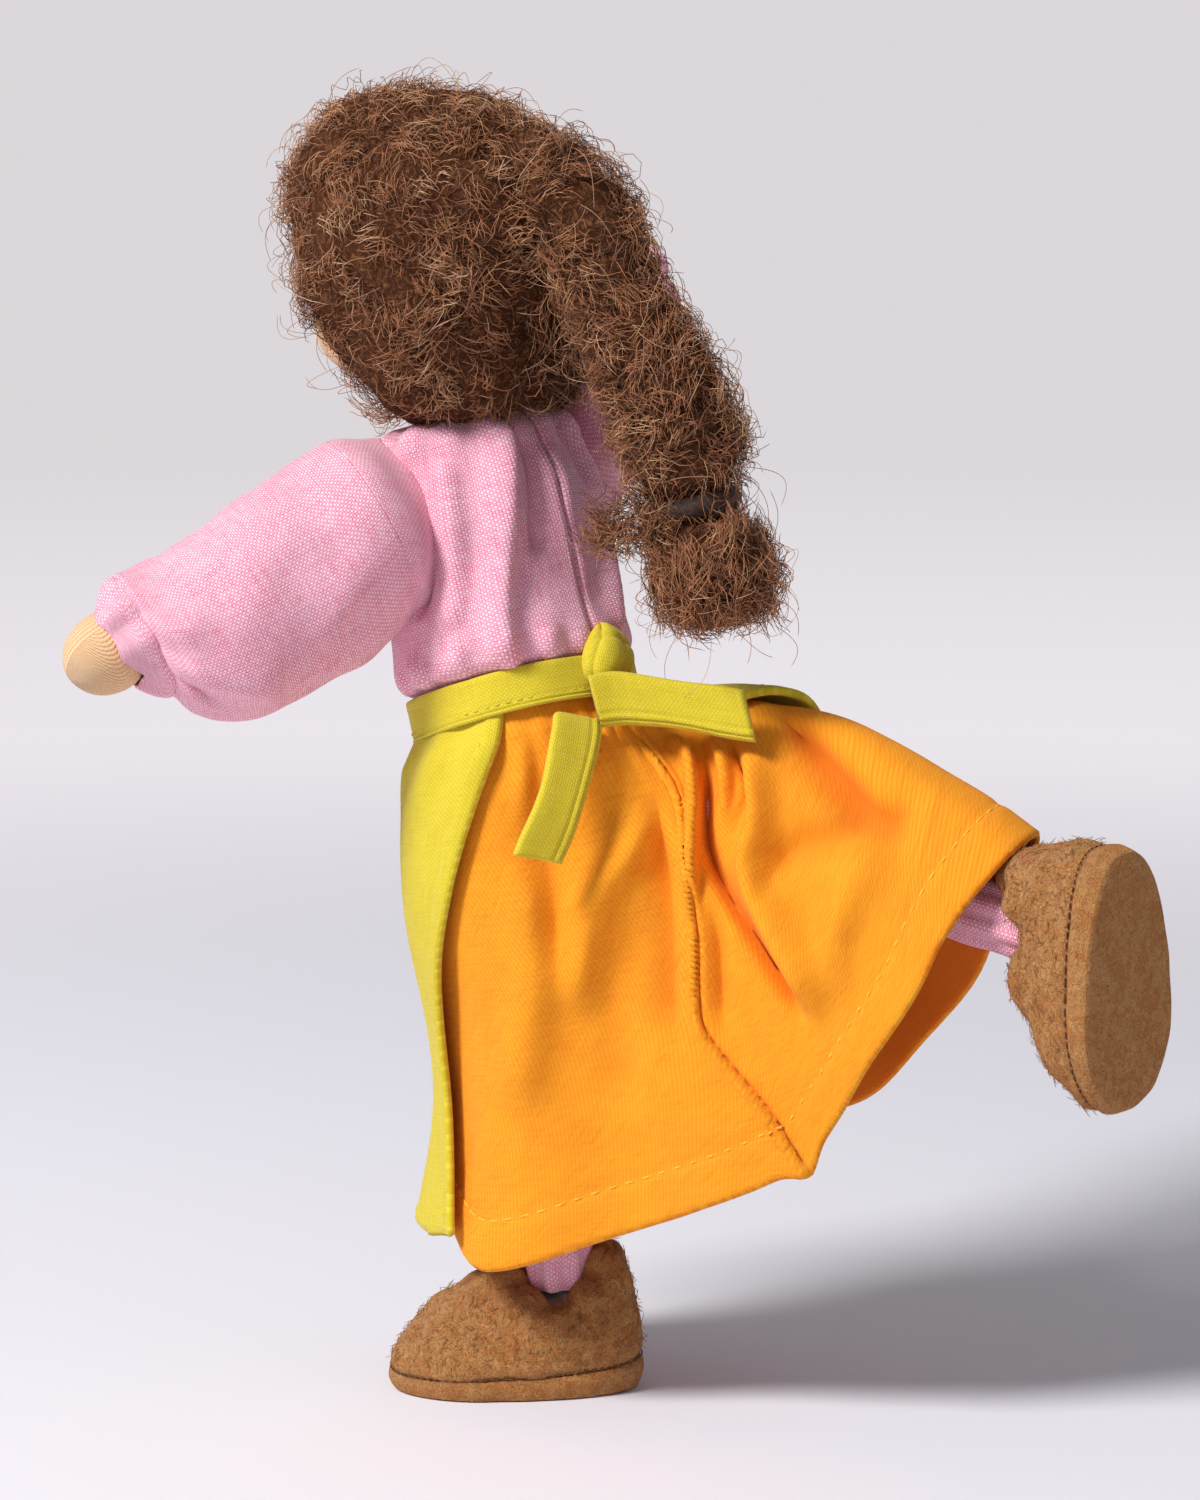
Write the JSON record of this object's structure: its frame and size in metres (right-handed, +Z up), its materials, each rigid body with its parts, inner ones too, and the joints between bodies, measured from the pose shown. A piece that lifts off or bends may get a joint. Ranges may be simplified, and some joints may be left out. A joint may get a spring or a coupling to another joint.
{
  "type": "doll",
  "caption": "Soft wire-framed doll in blouse, skirt and tied apron, standing on one felt-shod foot and bending at neck, shoulders, elbows, hips, knees and ankles.",
  "frame": {"origin": "middle of the underside of the left sole, which the doll stands on", "axes": "+Z up; the doll faces -Y and its left is +X"},
  "size_m": [0.0686, 0.0739, 0.1089],
  "materials": {
    "pink_cotton": "plain-woven cotton",
    "orange_cotton": "twilled cotton",
    "yellow_cotton": "plain-woven cotton",
    "brown_felt": "wool felt, stitched",
    "mohair": "curly mohair",
    "dark_thread": "stitched thread",
    "skin_cotton": "knitted cotton",
    "wool": "wound wool yarn",
    "wire": "annealed wire",
    "red_thread": "stitched thread"
  },
  "bodies": {
    "torso": {"torso": "wool", "spine_wire": "wire", "hip_wire": "wire", "shoulder_wire": "wire", "blouse": "pink_cotton", "blouse_left_shoulder": "pink_cotton", "blouse_right_shoulder": "pink_cotton", "drawers_seat": "pink_cotton", "skirt_left": "orange_cotton", "skirt_right": "orange_cotton", "skirt_band": "orange_cotton", "apron": "yellow_cotton", "apron_band": "yellow_cotton", "apron_knot": "yellow_cotton", "tie_end_side": "yellow_cotton", "tie_end_drop": "yellow_cotton"},
    "neck": {"neck": "wool", "neck_wire": "wire"},
    "head": {"head": "skin_cotton", "neck_thread": "skin_cotton", "left_eye": "dark_thread", "right_eye": "dark_thread", "mouth": "red_thread", "hair": "mohair", "ponytail": "mohair", "ponytail_tuft": "mohair", "hair_tie": "dark_thread"},
    "left_upper_arm": {"left_upper_arm": "wool", "left_upper_arm_wire": "wire", "left_sleeve": "pink_cotton"},
    "left_forearm": {"left_forearm": "wool", "left_forearm_wire": "wire", "left_hand": "skin_cotton", "left_cuff": "pink_cotton", "left_cuff_thread": "pink_cotton"},
    "left_thigh": {"left_thigh": "wool", "left_thigh_wire": "wire", "left_drawers_leg": "pink_cotton"},
    "left_shin": {"left_shin": "wool", "left_shin_wire": "wire"},
    "left_foot": {"left_foot": "wool", "left_shoe": "brown_felt", "left_shoe_sole": "brown_felt"},
    "right_upper_arm": {"right_upper_arm": "wool", "right_upper_arm_wire": "wire", "right_sleeve": "pink_cotton"},
    "right_forearm": {"right_forearm": "wool", "right_forearm_wire": "wire", "right_hand": "skin_cotton", "right_cuff": "pink_cotton", "right_cuff_thread": "pink_cotton"},
    "right_thigh": {"right_thigh": "wool", "right_thigh_wire": "wire", "right_drawers_leg": "pink_cotton"},
    "right_shin": {"right_shin": "wool", "right_shin_wire": "wire"},
    "right_foot": {"right_foot": "wool", "right_shoe": "brown_felt", "right_shoe_sole": "brown_felt"}
  },
  "joints": [
    {"name": "neck_nod", "type": "hinge", "parent": "torso", "child": "neck", "pos_m": [0.00014, -0.00572, 0.0813], "axis": [1, 0, 0], "range_deg": [-2, 20]},
    {"name": "head_turn", "type": "hinge", "parent": "neck", "child": "head", "pos_m": [0.00062, -0.00641, 0.08623], "axis": [0.0957, -0.1366, 0.986], "range_deg": [-25, 20]},
    {"name": "left_shoulder", "type": "hinge", "parent": "torso", "child": "left_upper_arm", "pos_m": [0.00709, -0.00474, 0.07708], "axis": [-0.4226, -0.9063, 0], "range_deg": [-30, 35], "deforming": ["blouse_left_shoulder", "left_sleeve"]},
    {"name": "left_elbow", "type": "hinge", "parent": "left_upper_arm", "child": "left_forearm", "pos_m": [0.01834, -0.00999, 0.0706], "axis": [-0.4226, -0.9063, 0], "range_deg": [-5, 55], "deforming": ["left_sleeve"]},
    {"name": "right_shoulder", "type": "hinge", "parent": "torso", "child": "right_upper_arm", "pos_m": [-0.0072, -0.00526, 0.07929], "axis": [-0.5, 0.866, 0], "range_deg": [-45, 12], "deforming": ["blouse_right_shoulder", "right_sleeve"]},
    {"name": "right_elbow", "type": "hinge", "parent": "right_upper_arm", "child": "right_forearm", "pos_m": [-0.0178, -0.01138, 0.08608], "axis": [-0.5, 0.866, 0], "range_deg": [-5, 45], "deforming": ["right_sleeve"]},
    {"name": "right_hip", "type": "hinge", "parent": "torso", "child": "right_thigh", "pos_m": [-0.00508, 0.00164, 0.05207], "axis": [0.9455, 0.3256, 0], "range_deg": [-50, 10], "deforming": ["skirt_left", "skirt_right", "apron", "drawers_seat", "right_drawers_leg"]},
    {"name": "right_knee", "type": "hinge", "parent": "right_thigh", "child": "right_shin", "pos_m": [-0.01168, 0.0208, 0.04739], "axis": [0.9455, 0.3256, 0], "range_deg": [-20, 6], "deforming": ["right_drawers_leg"]},
    {"name": "right_ankle", "type": "hinge", "parent": "right_shin", "child": "right_foot", "pos_m": [-0.01828, 0.03997, 0.04271], "axis": [0.9455, 0.3256, 0], "range_deg": [-15, 15]},
    {"name": "left_hip", "type": "hinge", "parent": "torso", "child": "left_thigh", "pos_m": [0.00252, 0.00164, 0.05207], "axis": [1, 0, 0], "range_deg": [-12, 12], "deforming": ["drawers_seat", "left_drawers_leg"]},
    {"name": "left_knee", "type": "hinge", "parent": "left_thigh", "child": "left_shin", "pos_m": [-0.00006, 0.00205, 0.03144], "axis": [1, 0, 0], "range_deg": [-4, 15], "deforming": ["left_drawers_leg"]},
    {"name": "left_ankle", "type": "hinge", "parent": "left_shin", "child": "left_foot", "pos_m": [-0.00263, 0.00246, 0.0108], "axis": [0.682, 0.7314, 0], "range_deg": [-15, 15]}
  ]
}
